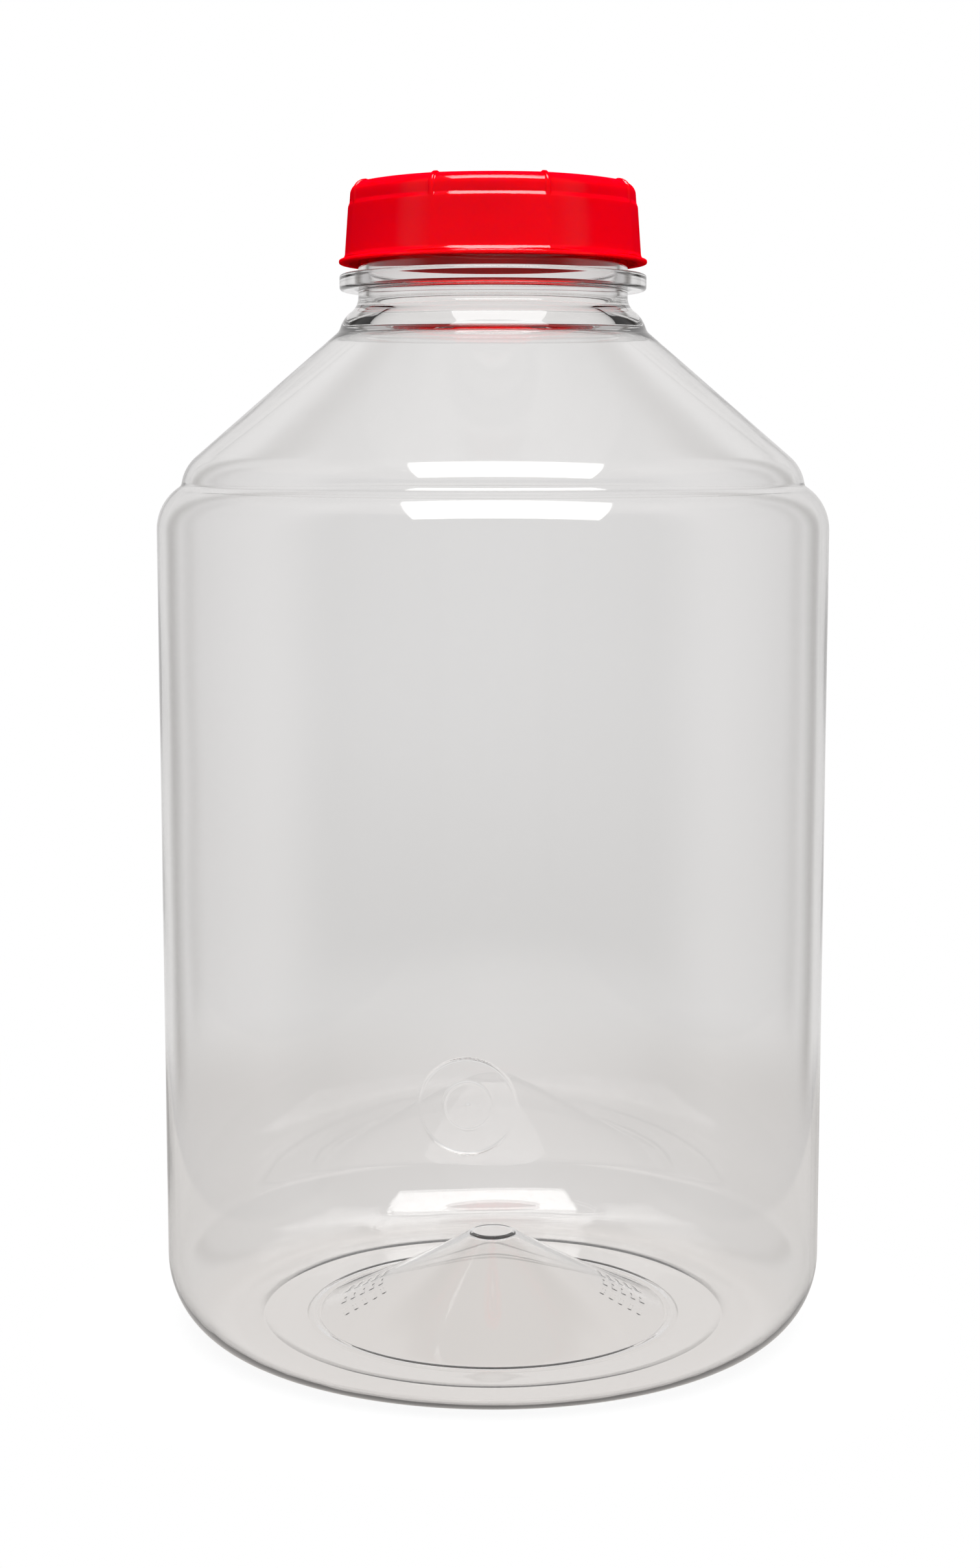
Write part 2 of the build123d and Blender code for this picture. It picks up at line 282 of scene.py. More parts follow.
def join(*parts):
    """One outline from pieces that meet end to end, with the blend of their corner between two pieces."""
    outline = parts[0]
    for blend, piece in zip(parts[1::2], parts[2::2]):
        if blend == 0:
            outline = np.vstack((outline, piece[1:]))
            continue
        corner = piece[0]
        before = outline[np.hypot(*(outline - corner).T) > blend]
        after = piece[np.hypot(*(piece - corner).T) > blend]
        last = outline[len(before)]
        start = before[-1] + (last - before[-1]) * near_share(before[-1], last, corner, blend)
        first = piece[len(piece) - len(after) - 1]
        end = after[0] + (first - after[0]) * near_share(after[0], first, corner, blend)
        t = np.linspace(0, 1, 7)[:, None]
        curve = (1 - t) ** 2 * start + 2 * t * (1 - t) * corner + t**2 * end
        outline = np.vstack((before, curve, after))
    return outline


def near_share(far, near, corner, reach):
    """How far along from far to near the distance to the corner falls to reach."""
    shares = np.linspace(0, 1, 200)
    points = far + shares[:, None] * (near - far)
    return shares[np.argmin(np.abs(np.hypot(*(points - corner).T) - reach))]


def smoothstep(value, low, high):
    """0 below low, 1 above high, with a smooth rise between."""
    t = np.clip((value - low) / (high - low), 0, 1)
    return t * t * (3 - 2 * t)


def turn_from(angle, middle):
    """The signed angle from middle, within half a turn."""
    return (angle - middle + pi) % (2 * pi) - pi


# ---------------------------------------------------------------- turning an outline into a mesh

def refined_turns(step, fine_zones):
    """Angles all round at step, with finer steps in zones of (middle, half width, fine step)."""
    angles = np.arange(0, 2 * pi - step / 2, step)
    for middle, half, fine in fine_zones:
        angles = angles[np.abs(turn_from(angles, middle)) > half + fine / 2]
        zone = middle + np.arange(-half, half + fine / 2, fine)
        angles = np.concatenate((angles, zone % (2 * pi)))
    return np.sort(angles)


def turned(name, outline, turns, shape, closed=False):
    """A mesh object swept from an outline; shape(radius, height, angle) forms it as it turns."""
    body = outline if closed else outline[1:-1]
    radius, height = shape(body[:, :1], body[:, 1:], turns[None, :])
    grid = np.stack((radius * np.cos(turns), radius * np.sin(turns), height), axis=-1)
    rows, columns = grid.shape[:2]
    points = grid.reshape(-1, 3)
    index = np.arange(rows * columns).reshape(rows, columns)
    beside = np.roll(index, -1, axis=1)
    if closed:
        ahead, ahead_beside = np.roll(index, -1, axis=0), np.roll(beside, -1, axis=0)
        quads = np.stack((index, beside, ahead_beside, ahead), axis=-1).reshape(-1, 4)
        faces = quads.tolist()
    else:
        quads = np.stack((index[:-1], beside[:-1], beside[1:], index[1:]), axis=-1)
        faces = quads.reshape(-1, 4).tolist()
        poles = np.array([(0, 0, outline[0, 1]), (0, 0, outline[-1, 1])])
        first, last = len(points), len(points) + 1
        points = np.vstack((points, poles))
        faces += [(first, b, a) for a, b in zip(index[0], beside[0])]
        faces += [(last, a, b) for a, b in zip(index[-1], beside[-1])]
    mesh = bpy.data.meshes.new(name)
    mesh.from_pydata((points * MM).tolist(), [], faces)
    mesh.polygons.foreach_set("use_smooth", [True] * len(faces))
    mesh.validate()
    piece = bpy.data.objects.new(name, mesh)
    bpy.context.scene.collection.objects.link(piece)
    return piece


def thread_height(height, angle, start):
    """0 to 1: how much of the thread's ridge stands at a place, for a thread that rises from start."""
    swell = np.zeros(np.broadcast(height, angle).shape)
    full_turn = 2 * pi * THREAD_TURNS
    for lap in range(int(THREAD_TURNS) + 1):
        along = angle % (2 * pi) + lap * 2 * pi
        centre = start + THREAD_PITCH * along / (2 * pi)
        flank = smoothstep(-np.abs(height - centre), -THREAD_ROOT / 2, -THREAD_CREST / 2)
        lead_in = smoothstep(along, 0, THREAD_FADE)
        run_out = smoothstep(-along, -full_turn, THREAD_FADE - full_turn)
        swell = np.maximum(swell, flank * lead_in * run_out)
    return swell


def outer_rows(radius, outer_count):
    """Which rows of an outline without its two ends belong to its first outer_count points."""
    return np.arange(1, len(radius) + 1)[:, None] < outer_count


# ---------------------------------------------------------------- clear shell

def cone_height(radius, wall=0.0):
    """Height of the cone's face at a radius, that far inside its outer face."""
    normal = (sin(CONE_RISE), cos(CONE_RISE))
    reach = SHOULDER_CENTRE[0] * normal[0] + SHOULDER_CENTRE[1] * normal[1] + SHOULDER_RADIUS - wall
    return (reach - radius * normal[0]) / normal[1]


def notch_angles(wall):
    """Where the rounded corner and the shoulder meet, as an angle on each arc."""
    corner_centre = np.array((BODY_RADIUS - CORNER_RADIUS, CORNER_START))
    centre = np.array(SHOULDER_CENTRE)
    a, b = CORNER_RADIUS - wall, SHOULDER_RADIUS - wall
    span = centre - corner_centre
    gap = np.hypot(*span)
    along = (a * a - b * b + gap * gap) / (2 * gap)
    across = np.sqrt(a * a - along * along)
    meeting = corner_centre + (along * span + across * np.array((span[1], -span[0]))) / gap
    return [np.arctan2(*(meeting - c)[::-1]) for c in (corner_centre, centre)]


def base_outline(lift, wall):
    """The base from the axis out and round the heel: the underside for lift 0, else the inside."""
    tip = PUNT_HEIGHT - (0 if lift else PUNT_WALL)
    radii = np.linspace(PUNT_TIP_RADIUS, PUNT_RADIUS, FLANK_POINTS)
    share = (PUNT_RADIUS - radii) / (PUNT_RADIUS - PUNT_TIP_RADIUS)
    flank = np.column_stack((radii, lift + (tip - lift) * share**PUNT_CURVE))
    across = np.linspace(0, 1, 16)
    bead_radii = PUNT_RADIUS + (RIM_BEAD_RADIUS - PUNT_RADIUS) * across
    bead = np.column_stack((bead_radii, lift + RIM_BEAD_HEIGHT * np.sin(pi * across) ** 2))
    depth = 0 if lift else SEAM_DEPTH
    seam_in = (SEAM_RADIUS - SEAM_WIDTH / 2, lift)
    seam_out = (SEAM_RADIUS + SEAM_WIDTH / 2, lift)
    seam = np.array((seam_in, (SEAM_RADIUS, lift + depth), seam_out))
    heel_radii = (BODY_RADIUS - wall - FOOT_RADIUS, HEEL_HEIGHT - lift)
    heel = arc((FOOT_RADIUS, HEEL_HEIGHT), heel_radii, -pi / 2, 0, 22)
    return join(
        straight((0, tip), (PUNT_TIP_RADIUS, tip), 4.5),
        PUNT_TIP_BLEND,
        flank,
        0,
        bead,
        0,
        straight(bead[-1], seam_in),
        0,
        seam,
        0,
        straight(seam_out, heel[0]),
        0,
        heel,
    )


def wall_outline(wall):
    """The wall from the heel up to the start of the cone, with finer steps beside the pad."""
    radius = BODY_RADIUS - wall
    pad_low = PAD_HEIGHT - PAD_RADIUS - PAD_MARGIN
    pad_high = PAD_HEIGHT + PAD_RADIUS + PAD_MARGIN
    on_corner, on_shoulder = notch_angles(wall)
    corner_centre = (BODY_RADIUS - CORNER_RADIUS, CORNER_START)
    corner = arc(corner_centre, (CORNER_RADIUS - wall,) * 2, 0, on_corner, 12)
    cone_normal = pi / 2 - CONE_RISE
    shoulder = arc(SHOULDER_CENTRE, (SHOULDER_RADIUS - wall,) * 2, on_shoulder, cone_normal, 12)
    return join(
        straight((radius, HEEL_HEIGHT), (radius, pad_low), 9),
        0,
        straight((radius, pad_low), (radius, pad_high), PAD_ROW_STEP),
        0,
        straight((radius, pad_high), (radius, CORNER_START), 12),
        0,
        corner,
        NOTCH_INNER_BLEND if wall else NOTCH_BLEND,
        shoulder,
    )


def shell_outline():
    """The whole shell: underside and outer face up to the rim, then the inner face down to the axis."""
    outer_wall = wall_outline(0)
    inner_wall = wall_outline(BODY_WALL)
    cone_top = (CONE_TOP_RADIUS, cone_height(CONE_TOP_RADIUS))
    neck_foot = (NECK_RADIUS, NECK_FOOT)
    thread_low = THREAD_START - THREAD_ROOT / 2 - THREAD_MARGIN
    thread_high = THREAD_START + THREAD_PITCH * THREAD_TURNS + THREAD_ROOT / 2 + THREAD_MARGIN
    shelf = cone_height(SHELF_RADIUS, CONE_TOP_WALL)
    outer = join(
        base_outline(0, 0),
        0,
        outer_wall,
        0,
        straight(outer_wall[-1], cone_top),
        CONE_TOP_BLEND,
        bulge(cone_top, neck_foot, BEAD_RADIUS),
        NECK_FOOT_BLEND,
        straight(neck_foot, (NECK_RADIUS, RING_BOTTOM), 1.5),
        RING_ROOT_BLEND,
        straight((NECK_RADIUS, RING_BOTTOM), (RING_RADIUS, RING_BOTTOM), 2),
        RING_LOWER_BLEND,
        straight((RING_RADIUS, RING_BOTTOM), (RING_RADIUS, RING_TOP), 2),
        RING_UPPER_BLEND,
        straight((RING_RADIUS, RING_TOP), (NECK_RADIUS, RING_TOP), 2),
        RING_ROOT_BLEND,
        straight((NECK_RADIUS, RING_TOP), (NECK_RADIUS, thread_low), 3),
        0,
        straight((NECK_RADIUS, thread_low), (NECK_RADIUS, thread_high), THREAD_ROW_STEP),
        0,
        straight((NECK_RADIUS, thread_high), (NECK_RADIUS, RIM_HEIGHT), 1.5),
        RIM_BLEND,
        straight((NECK_RADIUS, RIM_HEIGHT), (BORE_RADIUS, RIM_HEIGHT), 1),
    )
    inner = join(
        base_outline(BASE_WALL, BODY_WALL),
        0,
        inner_wall,
        0,
        straight(inner_wall[-1], (SHELF_RADIUS, shelf)),
        SHELF_BLEND / 2,
        straight((SHELF_RADIUS, shelf), (BORE_RADIUS, shelf), 1),
        SHELF_BLEND,
        straight((BORE_RADIUS, shelf), (BORE_RADIUS, RIM_HEIGHT), 4),
    )
    return join(outer, RIM_BLEND, inner[::-1]), len(outer)


def wave(height, angle, seed):
    """The slow, shallow unevenness of a blown wall, between about -1 and 1."""
    waves = [np.sin(lobes * angle + lean * height + seed * lobes) for lobes, lean in WAVES]
    return sum(waves) / len(waves)


def shell_shape(outer_count):
    """How the shell is formed as it turns: thread, pad, ticks and a blown wall's unevenness."""

    def shape(radius, height, angle):
        outside = outer_rows(radius, outer_count)
        new_radius = radius + 0 * angle
        new_height = height + 0 * angle
        # A blown wall's unevenness, which differs between its two faces.
        at_wall = radius > BODY_RADIUS - WALL_ZONE
        above_heel = smoothstep(height, HEEL_HEIGHT, HEEL_HEIGHT + WAVE_RISE)
        below_corner = smoothstep(-height, -CORNER_START, WAVE_FALL - CORNER_START)
        waves = np.where(outside, wave(height, angle, 1), wave(height, angle, 2.3))
        new_radius += WALL_WAVE * above_heel * below_corner * at_wall * waves
        # Spigot pad: a flat round seat pressed into the front wall, a little wider on the inside.
        from_pad = turn_from(angle, FRONT + PAD_TURN)
        reach = np.hypot(np.sin(from_pad) * BODY_RADIUS, height - PAD_HEIGHT)
        edge = PAD_RADIUS + np.where(outside, 0, PAD_INSIDE)
        pressed = smoothstep(-reach, -edge, PAD_EDGE - edge) * (np.cos(from_pad) > 0)
        face = BODY_RADIUS - PAD_DEPTH - np.where(outside, 0, PAD_WALL)
        from_ring = np.abs(reach - PAD_RING_RADIUS)
        face = face - PAD_RING_DEPTH * smoothstep(-from_ring, -PAD_RING_WIDTH / 2, 0) * outside
        face = face - PUNCH_DEPTH * smoothstep(-reach, -PUNCH_RADIUS, 0) * outside
        flat = face / np.maximum(np.cos(from_pad), 0.5)  # the pad ends well before 60 degrees
        new_radius += (flat - new_radius) * pressed * at_wall
        # Thread, on the straight outside of the neck.
        on_neck = outside & (np.abs(radius - NECK_RADIUS) < 0.01) & (height > RING_TOP)
        swell = thread_height(height, angle, THREAD_START)
        new_radius += NECK_THREAD_HEIGHT * swell * on_neck
        # Short raised ticks under the punt's flank, on the left and the right.
        on_flank = outside & (radius < PUNT_RADIUS) & (height < PUNT_HEIGHT)
        for tick_radius in TICK_RADII:
            across = smoothstep(-np.abs(radius - tick_radius), -TICK_WIDTH / 2, 0) * on_flank
            for middle in tick_middles():
                along = np.abs(turn_from(angle, middle)) * tick_radius
                tick = across * smoothstep(-along, -TICK_LENGTH / 2, TICK_END - TICK_LENGTH / 2)
                new_height -= TICK_RISE * tick
        return new_radius, new_height

    return shape


def tick_middles():
    """The directions of the ticks' middles, on the right and then on the left."""
    return [side + turn for side in (0, pi) for turn in TICK_TURNS]


def make_shell():
    """The clear shell."""
    outline, outer_count = shell_outline()
    zones = (
        (0, TICK_ZONE, TICK_STEP),
        (pi, TICK_ZONE, TICK_STEP),
        (FRONT + PAD_TURN, PAD_ZONE, PAD_STEP),
    )
    turns = refined_turns(SHELL_STEP, zones)
    return turned("clear_shell", outline, turns, shell_shape(outer_count))


# ---------------------------------------------------------------- lid

def skirt_radius(height):
    """Radius of the middle of a panel at a height."""
    return SKIRT_FOOT_RADIUS - (height - FLARE_HEIGHT) * tan(SKIRT_DRAFT)


def panel_reach(middle_radius, off):
    """How far out a panel's face lies, an angle off its middle, when its middle is that far out."""
    curve = middle_radius + PANEL_AXIS
    return np.sqrt(curve**2 - (PANEL_AXIS * np.sin(off)) ** 2) - PANEL_AXIS * np.cos(off)


def crown_centre():
    """The middle of the rounding between the band and the lid's top, at the middle of a panel."""
    height = LID_TOP - CROWN_RADIUS
    return skirt_radius(height) - LEDGE_STEP - CROWN_RADIUS / cos(SKIRT_DRAFT), height


def lid_outline():
    """The lid from the middle of its top, down the outside and up the inside to the axis."""
    recess = LID_TOP - RECESS_DEPTH
    recess_edge = (RECESS_RADIUS + RECESS_DEPTH, LID_TOP)
    crown = arc(crown_centre(), (CROWN_RADIUS,) * 2, pi / 2, SKIRT_DRAFT, 14)
    ledge_top = (skirt_radius(LEDGE_TOP) - LEDGE_STEP, LEDGE_TOP)
    ledge_foot = (skirt_radius(LEDGE_FOOT), LEDGE_FOOT)
    skirt_foot = (SKIRT_FOOT_RADIUS, FLARE_HEIGHT)
    flare_foot = (FLARE_RADIUS, LID_BOTTOM + BRIM_THICKNESS)
    brim_top = (BRIM_RADIUS, LID_BOTTOM + BRIM_THICKNESS)
    bore_foot = (LID_BORE_FOOT, LID_BOTTOM)
    bore_top = (LID_BORE_TOP, SEAT_FOOT)
    outer = join(
        straight((0, recess), (RECESS_RADIUS, recess), 5),
        RECESS_FOOT_BLEND,
        straight((RECESS_RADIUS, recess), recess_edge, 0.3),
        RECESS_EDGE_BLEND,
        straight(recess_edge, crown[0], 1),
        0,
        crown,
        0,
        straight(crown[-1], ledge_top, 0.6),
        LEDGE_BLEND,
        straight(ledge_top, ledge_foot, 0.3),
        LEDGE_BLEND,
        straight(ledge_foot, skirt_foot, 1.6),
        SKIRT_FOOT_BLEND,
        straight(skirt_foot, flare_foot, 0.4),
        FLARE_BLEND,
        straight(flare_foot, brim_top, 0.4),
        BRIM_EDGE,
        straight(brim_top, (BRIM_RADIUS, LID_BOTTOM), 0.8),
        BRIM_EDGE,
        straight((BRIM_RADIUS, LID_BOTTOM), bore_foot, 1.2),
    )
    inner = join(
        straight(bore_foot, bore_top, 0.6),
        BORE_TOP_BLEND,
        straight(bore_top, (SEAT_RADIUS, SEAT_FOOT), 0.4),
        SEAT_FOOT_BLEND,
        straight((SEAT_RADIUS, SEAT_FOOT), (SEAT_RADIUS, SEAT_HEIGHT), 1),
        SEAT_BLEND,
        straight((SEAT_RADIUS, SEAT_HEIGHT), (0, SEAT_HEIGHT), 6),
    )
    return join(outer, BORE_FOOT_BLEND, inner), len(outer)


def lid_shape(outer_count):
    """How the lid is formed as it turns: eight flat-faced panels, a rib at each meeting, inner thread."""

    def shape(radius, height, angle):
        outside = outer_rows(radius, outer_count)
        off = (angle - FRONT - PANEL_TURN + PANEL / 2) % PANEL - PANEL / 2
        above_brim = height - LID_BOTTOM - BRIM_THICKNESS
        panelled = smoothstep(above_brim, *PANEL_FOOT_FADE) * outside
        panelled = panelled * smoothstep(radius - RECESS_RADIUS, *PANEL_TOP_FADE)
        new_radius = radius + (panel_reach(radius, off) - radius) * panelled
        # Ribs bridge the ledge and follow the band up over the crown.
        from_rib = (PANEL / 2 - np.abs(off)) * radius
        rib = smoothstep(-from_rib, -RIB_WIDTH / 2, -RIB_CREST / 2) * outside
        centre_radius, centre_height = crown_centre()
        rib = rib * smoothstep(height, LEDGE_FOOT - RIB_FOOT_FADE, LEDGE_FOOT + RIB_FOOT_FADE)
        rib = rib * smoothstep(radius, centre_radius - RIB_DEPTH, centre_radius)
        over_crown = np.maximum(height - centre_height, 0)
        lean = np.arctan2(over_crown, np.maximum(radius - centre_radius, 0))
        rib_reach = panel_reach(skirt_radius(LEDGE_TOP) - LEDGE_STEP, PANEL / 2) + RIB_RISE
        band_radius = np.where(over_crown > 0, skirt_radius(centre_height) - LEDGE_STEP, radius)
        stand_out = np.maximum(rib_reach - panel_reach(band_radius, PANEL / 2), 0)
        new_radius += rib * stand_out * np.cos(lean)
        new_height = height + rib * RIB_RISE * np.sin(lean)
        # Thread, on the inside.
        in_bore = ~outside & (height < LID_THREAD_TOP) & (height > LID_THREAD_BOTTOM)
        swell = thread_height(height, angle, THREAD_START - FLANK_OFFSET)
        new_radius -= LID_THREAD_HEIGHT * swell * in_bore
        return new_radius, new_height

    return shape


def make_lid():
    """The red lid."""
    outline, outer_count = lid_outline()
    first_rib = FRONT + PANEL_TURN + PANEL / 2
    zones = [(first_rib + index * PANEL, RIB_ZONE, RIB_STEP) for index in range(PANELS)]
    turns = refined_turns(LID_STEP, zones)
    return turned("red_lid", outline[::-1], turns, flipped(lid_shape(outer_count)))


def flipped(shape):
    """The same forming for an outline that is handed over in reverse."""

    def reversed_shape(radius, height, angle):
        new_radius, new_height = shape(radius[::-1], height[::-1], angle)
        return new_radius[::-1], new_height[::-1]

    return reversed_shape


# ---------------------------------------------------------------- sealing ring

def make_seal():
    """The soft ring between the neck's rim and the lid."""
    low, high = SEAL_BOTTOM, SEAL_TOP
    corners = ((SEAL_INNER, low), (SEAL_OUTER, low), (SEAL_OUTER, high), (SEAL_INNER, high))
    bottom, outer, top, inner = (
        straight(start, end, 0.7) for start, end in zip(corners, corners[1:] + corners[:1])
    )
    outline = join(bottom, SEAL_BLEND, outer, SEAL_BLEND, top, SEAL_BLEND, inner)[:-1]

    def shape(radius, height, angle):
        return radius + 0 * angle, height + 0 * angle

    return turned("soft_seal", outline, refined_turns(SEAL_STEP, ()), shape, closed=True)


# ---------------------------------------------------------------- materials

class Nodes:
    """A short way to write a node tree."""

    def __init__(self, tree):
        self.tree = tree
        tree.nodes.clear()

    def add(self, kind, inputs=(), **settings):
        """A node with its settings and its inputs, each a number, a colour or another node's socket."""
        node = self.tree.nodes.new(kind)
        for name, value in settings.items():
            setattr(node, name, value)
        for key, value in dict(inputs).items():
            if isinstance(value, bpy.types.NodeSocket):
                self.tree.links.new(value, node.inputs[key])
            else:
                node.inputs[key].default_value = value
        return node

    def math(self, operation, a, b=0.0, c=0.0):
        """The result of a Math node."""
        return self.add("ShaderNodeMath", {0: a, 1: b, 2: c}, operation=operation).outputs[0]

    def ramp(self, value, low, high):
        """0 below low and 1 above high, smoothly."""
        inputs = {"Value": value, "From Min": low, "From Max": high}
        return self.add("ShaderNodeMapRange", inputs, interpolation_type="SMOOTHSTEP").outputs[0]

    def mix(self, share, a, b):
        """A mix of two colours."""
        node = self.add("ShaderNodeMix", {0: share, 6: a, 7: b}, data_type="RGBA")
        return node.outputs[2]

    def noise(self, where, scale, detail):
        """Noise between 0 and 1."""
        inputs = {"Vector": where, "Scale": scale, "Detail": detail}
        return self.add("ShaderNodeTexNoise", inputs).outputs[0]

    def point(self, stretch=None):
        """The place being shaded, in metres from the jug's foot, with its axes scaled by stretch."""
        where = self.add("ShaderNodeTexCoord").outputs["Object"]
        if stretch:
            where = self.add("ShaderNodeMapping", {"Vector": where, "Scale": stretch}).outputs[0]
        return where

    def bump(self, height, strength, distance):
        """A normal that leans as if the surface rose and fell with height."""
        inputs = {"Strength": strength, "Distance": distance, "Height": height}
        return self.add("ShaderNodeBump", inputs).outputs[0]

    def show(self, kind, inputs):
        """Sends a shader of this kind to the surface."""
        shader = self.add(kind, inputs).outputs[0]
        self.add("ShaderNodeOutputMaterial", {"Surface": shader})


def grey(value):
    """A neutral colour."""
    return (value, value, value, 1)


def new_material(name):
    """A material and the writer of its node tree."""
    material = bpy.data.materials.new(name)
    material.use_nodes = True
    return material, Nodes(material.node_tree)


def clear_plastic():
    """Blown clear PET: a patchy faint cast and slow flow lines that bend what is behind."""
    material, nodes = new_material("clear_shell")
    patches = nodes.noise(nodes.point(), 9, 3)
    flow = nodes.noise(nodes.point((1, 1, 0.12)), 26, 2)
    tint = nodes.mix(patches, (0.972, 0.971, 0.968, 1), (0.990, 0.989, 0.987, 1))
    nodes.show(
        "ShaderNodeBsdfPrincipled",
        {
            "Base Color": tint,
            "Roughness": 0.0,
            "IOR": 1.57,
            "Transmission Weight": 1.0,
            "Normal": nodes.bump(flow, 0.12, 0.0006),
        },
    )
    return material


def red_plastic():
    """Glossy moulded red: a little mottled in tone, with a fine grain and handling scuffs."""
    material, nodes = new_material("red_lid")
    tone = nodes.noise(nodes.point(), 30, 3)
    scuffs = nodes.noise(nodes.point((1, 1, 6)), 160, 4)
    grain = nodes.noise(nodes.point(), 900, 2)
    colour = nodes.mix(tone, (0.58, 0.0002, 0.004, 1), (0.66, 0.0006, 0.007, 1))
    # Seen at a slant, the moulded skin keeps its red instead of turning into a mirror.
    slant = nodes.add("ShaderNodeLayerWeight").outputs["Facing"]
    gloss = nodes.math("MULTIPLY", nodes.ramp(slant, 0.30, 0.16), 0.36)
    nodes.show(
        "ShaderNodeBsdfPrincipled",
        {
            "Base Color": colour,
            "Roughness": nodes.math("MULTIPLY_ADD", nodes.ramp(scuffs, 0.45, 0.75), 0.06, 0.07),
            "IOR": 1.5,
            "Specular IOR Level": gloss,
            "Subsurface Weight": 1.0,
            "Subsurface Radius": (1.0, 0.04, 0.05),
            "Subsurface Scale": 0.008,
            "Normal": nodes.bump(grain, 0.06, 0.0001),
        },
    )
    return material


def seal_foam():
    """Pale closed-cell foam with fine pores."""
    material, nodes = new_material("seal")
    pores = nodes.add("ShaderNodeTexVoronoi", {"Vector": nodes.point(), "Scale": 1800})
    cells = pores.outputs["Distance"]
    colour = nodes.mix(cells, (0.62, 0.61, 0.58, 1), (0.86, 0.85, 0.82, 1))
    relief = nodes.bump(cells, 0.4, 0.0002)
    nodes.show(
        "ShaderNodeBsdfPrincipled", {"Base Color": colour, "Roughness": 0.7, "Normal": relief}
    )
    return material


# ---------------------------------------------------------------- studio

def camera_axes(nodes, vector):
    """A level vector's shares to the camera's right and straight ahead of it."""
    as_seen = nodes.add(
        "ShaderNodeVectorTransform",
        {0: vector},
        vector_type="VECTOR",
        convert_from="WORLD",
        convert_to="CAMERA",
    )
    right, up, ahead = nodes.add("ShaderNodeSeparateXYZ", {0: as_seen.outputs[0]}).outputs
    up_square = nodes.math("MULTIPLY", up, up)
    ahead_square = nodes.math("MULTIPLY", ahead, ahead)
    length = nodes.math("SQRT", nodes.math("ADD", up_square, ahead_square))
    return right, nodes.math("MULTIPLY", length, nodes.math("SIGN", ahead))


def make_world():
    """A pale backdrop behind the jug, grey walls at its sides and a softbox above the camera.

    The camera itself sees plain white. The room shows only through the jug and in its shine.
    """
    world = bpy.data.worlds.new("studio")
    world.use_nodes = True
    bpy.context.scene.world = world
    nodes = Nodes(world.node_tree)
    way = nodes.add("ShaderNodeTexCoord").outputs["Generated"]
    x, y, up = nodes.add("ShaderNodeSeparateXYZ", {0: way}).outputs
    level = nodes.add("ShaderNodeCombineXYZ", {0: x, 1: y}).outputs[0]
    right, ahead = camera_axes(nodes, level)
    off_ahead = nodes.math("ABSOLUTE", nodes.math("ARCTAN2", right, ahead))
    sides = nodes.ramp(off_ahead, GAP_HALF_WIDTH - ROOM_EDGE, GAP_HALF_WIDTH + ROOM_EDGE)
    room = nodes.mix(sides, GAP_GLOW, SIDE_GLOW)
    room = nodes.mix(nodes.ramp(off_ahead, FRONT_START, FRONT_END), room, FRONT_GLOW)
    aside = nodes.ramp(off_ahead, 0, BACKDROP_FADE)
    backdrop_glow = nodes.mix(aside, BACKDROP_GLOW, BACKDROP_SIDE_GLOW)
    foot = nodes.ramp(up, *BACKDROP_FOOT)
    backdrop_glow = nodes.mix(foot, backdrop_glow, BACKDROP_FOOT_GLOW)
    backdrop = nodes.ramp(
        off_ahead, BACKDROP_HALF_WIDTH + ROOM_EDGE, BACKDROP_HALF_WIDTH - ROOM_EDGE
    )
    room = nodes.mix(backdrop, room, backdrop_glow)
    top = sin(BACKDROP_TOP)
    ceiling = nodes.ramp(up, top - BACKDROP_TOP_EDGE, top + BACKDROP_TOP_EDGE)
    room = nodes.mix(ceiling, room, CEILING_GLOW)
    # The softbox is a flat rectangle above and behind the camera, facing down at the jug.
    toward = nodes.math("MULTIPLY", up, sin(SOFTBOX_RISE))
    toward = nodes.math("MULTIPLY_ADD", ahead, -cos(SOFTBOX_RISE), toward)
    climb = nodes.math("MULTIPLY", up, cos(SOFTBOX_RISE))
    climb = nodes.math("MULTIPLY_ADD", ahead, sin(SOFTBOX_RISE), climb)
    lit = nodes.ramp(toward, 0.0, SOFTBOX_REACH)
    for share, (low, high) in ((right, SOFTBOX_SIDES), (climb, SOFTBOX_ENDS)):
        across = nodes.math("DIVIDE", share, nodes.math("MAXIMUM", toward, SOFTBOX_REACH))
        for limit, inwards in ((low, SOFTBOX_EDGE), (high, -SOFTBOX_EDGE)):
            within = nodes.ramp(across, limit - inwards, limit + inwards)
            lit = nodes.math("MULTIPLY", lit, within)
    rays = nodes.add("ShaderNodeLightPath").outputs
    softbox = nodes.mix(rays["Is Singular Ray"], SOFTBOX_GLOW, SOFTBOX_MIRRORED)
    room = nodes.mix(lit, room, softbox)
    shown = nodes.mix(rays["Is Camera Ray"], room, grey(1.0))
    glow = nodes.add("ShaderNodeBackground", {"Color": shown})
    nodes.add("ShaderNodeOutputWorld", {"Surface": glow.outputs[0]})


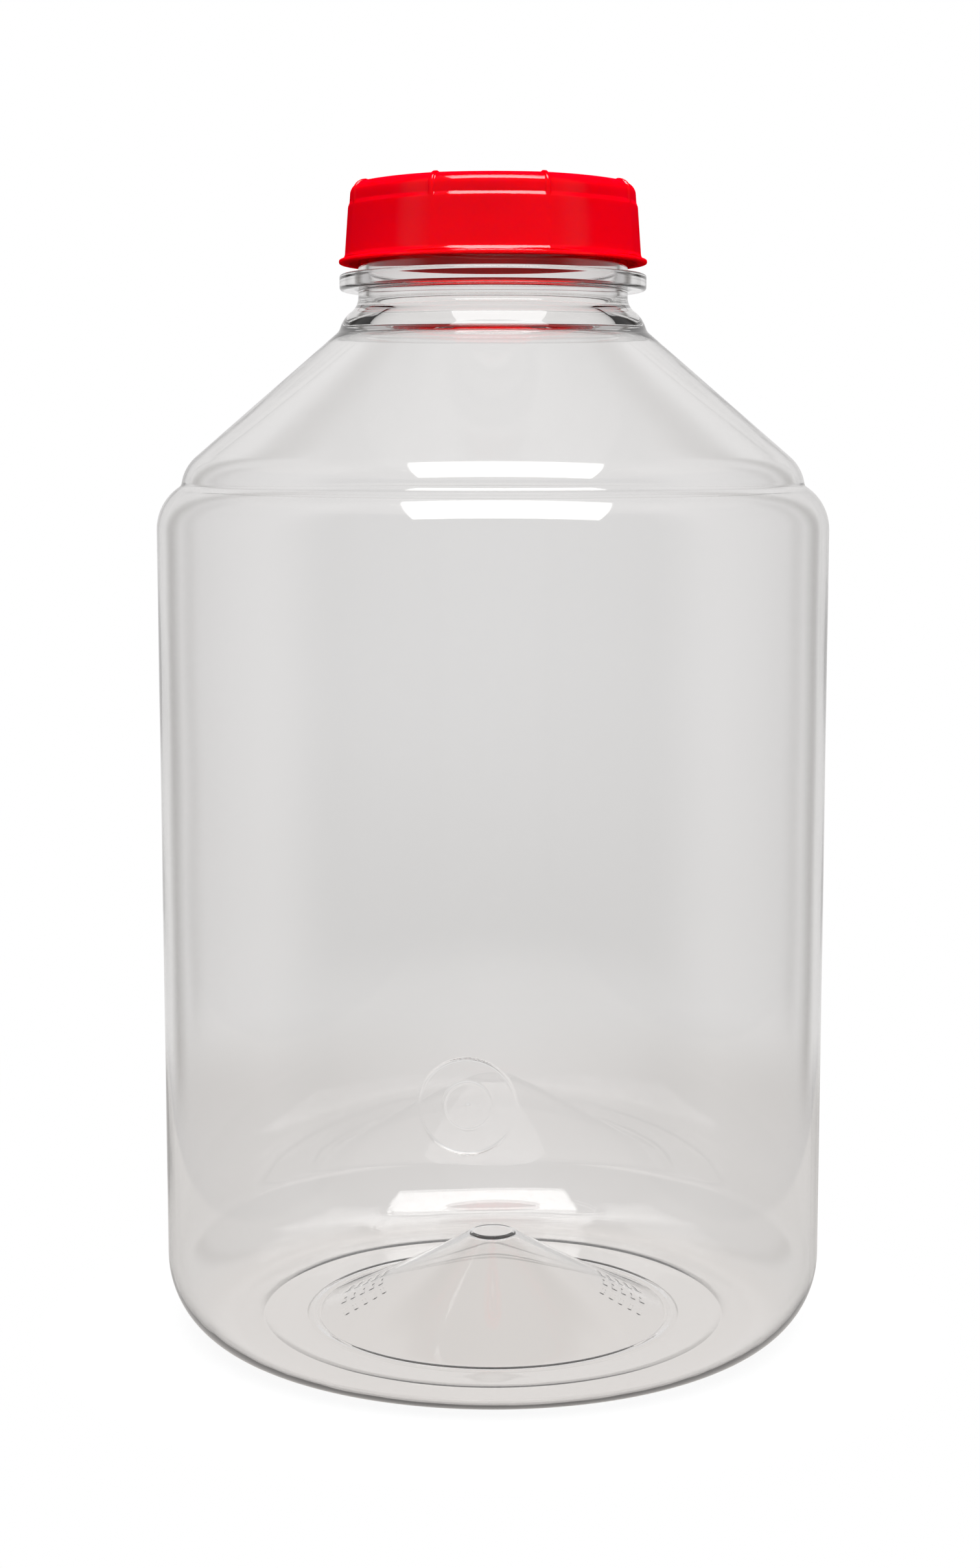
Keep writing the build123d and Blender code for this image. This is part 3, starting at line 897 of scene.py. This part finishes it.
def make_floor():
    """A strip of pale paper that the jug stands on, fading into the white around it; seen through the jug
    and in its shine it glows with painted light and painted shade.
    """
    bpy.ops.mesh.primitive_circle_add(vertices=96, radius=FLOOR_RADIUS, fill_type="NGON")
    floor = bpy.context.object
    floor.name = "floor"
    floor.location.z = -FLOOR_DROP
    material, nodes = new_material("floor")
    where = nodes.point()
    out = nodes.add("ShaderNodeVectorMath", {0: where}, operation="LENGTH").outputs["Value"]
    aside = nodes.math("ABSOLUTE", camera_axes(nodes, where)[0])
    # Painted light: what the jug sees of the paper is a glow, brightest along its middle line and dimmer
    # towards its sides.
    glow = nodes.mix(nodes.ramp(aside, 0, PAPER_FADE), PAPER_GLOW, PAPER_SIDE_GLOW)
    # Painted shade: right under the jug the paper's glow is darker and warmer.
    glow = nodes.mix(nodes.ramp(out, *PAINTED_SHADE_RADII), glow, PAINTED_SHADE_GLOW)
    paper = nodes.ramp(aside, PAPER_HALF_WIDTH + PAPER_EDGE, PAPER_HALF_WIDTH - PAPER_EDGE)
    # Beyond the strip the floor glows with the side walls' grey, which is painted light too.
    glow = nodes.mix(paper, SIDE_GLOW, glow)
    # Seen directly it is white like the air around it, but for the jug's faint shadow.
    direct = nodes.add("ShaderNodeLightPath").outputs["Is Camera Ray"]
    plain = nodes.add("ShaderNodeEmission", {"Color": nodes.mix(direct, glow, grey(1.0))})
    shaded = nodes.add("ShaderNodeBsdfDiffuse", {"Color": grey(FLOOR_TONE)})
    near_jug = nodes.math("MULTIPLY", nodes.ramp(out, *SHADOW_RADII), SHADOW_SHARE)
    shadow = nodes.math("MULTIPLY", direct, near_jug)
    top = nodes.add("ShaderNodeMixShader", {0: shadow, 1: plain.outputs[0], 2: shaded.outputs[0]})
    gone = nodes.add("ShaderNodeBsdfTransparent")
    faded = nodes.ramp(out, *(FLOOR_RADIUS * share for share in FLOOR_FADE))
    nodes.show("ShaderNodeMixShader", {0: faded, 1: top.outputs[0], 2: gone.outputs[0]})
    floor.data.materials.append(material)


def make_camera():
    """The camera, above the middle of the jug and looking slightly down."""
    camera = bpy.data.objects.new("camera", bpy.data.cameras.new("camera"))
    bpy.context.scene.collection.objects.link(camera)
    unit = BODY_RADIUS * MM
    camera.location = (CAMERA_SHIFT * unit, -CAMERA_DISTANCE * unit, CAMERA_HEIGHT * unit)
    camera.rotation_euler = (pi / 2 - CAMERA_TILT, 0, 0)
    camera.data.lens = LENS
    bpy.context.scene.camera = camera


def place(piece, material, body, node):
    """Gives a piece its material and slot, and lets it stand for a CAD node on a body."""
    piece.data.materials.append(material)
    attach(piece, body)
    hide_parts(node)


place(make_shell(), clear_plastic(), "jug", "jug_body")
place(make_lid(), red_plastic(), "lid", "screw_lid")
place(make_seal(), seal_foam(), "gasket", "lid_gasket")
make_world()
make_floor()
make_camera()
bpy.context.scene.view_settings.view_transform = "Standard"
bpy.context.scene.cycles.max_bounces = 24
bpy.context.scene.cycles.transmission_bounces = 24
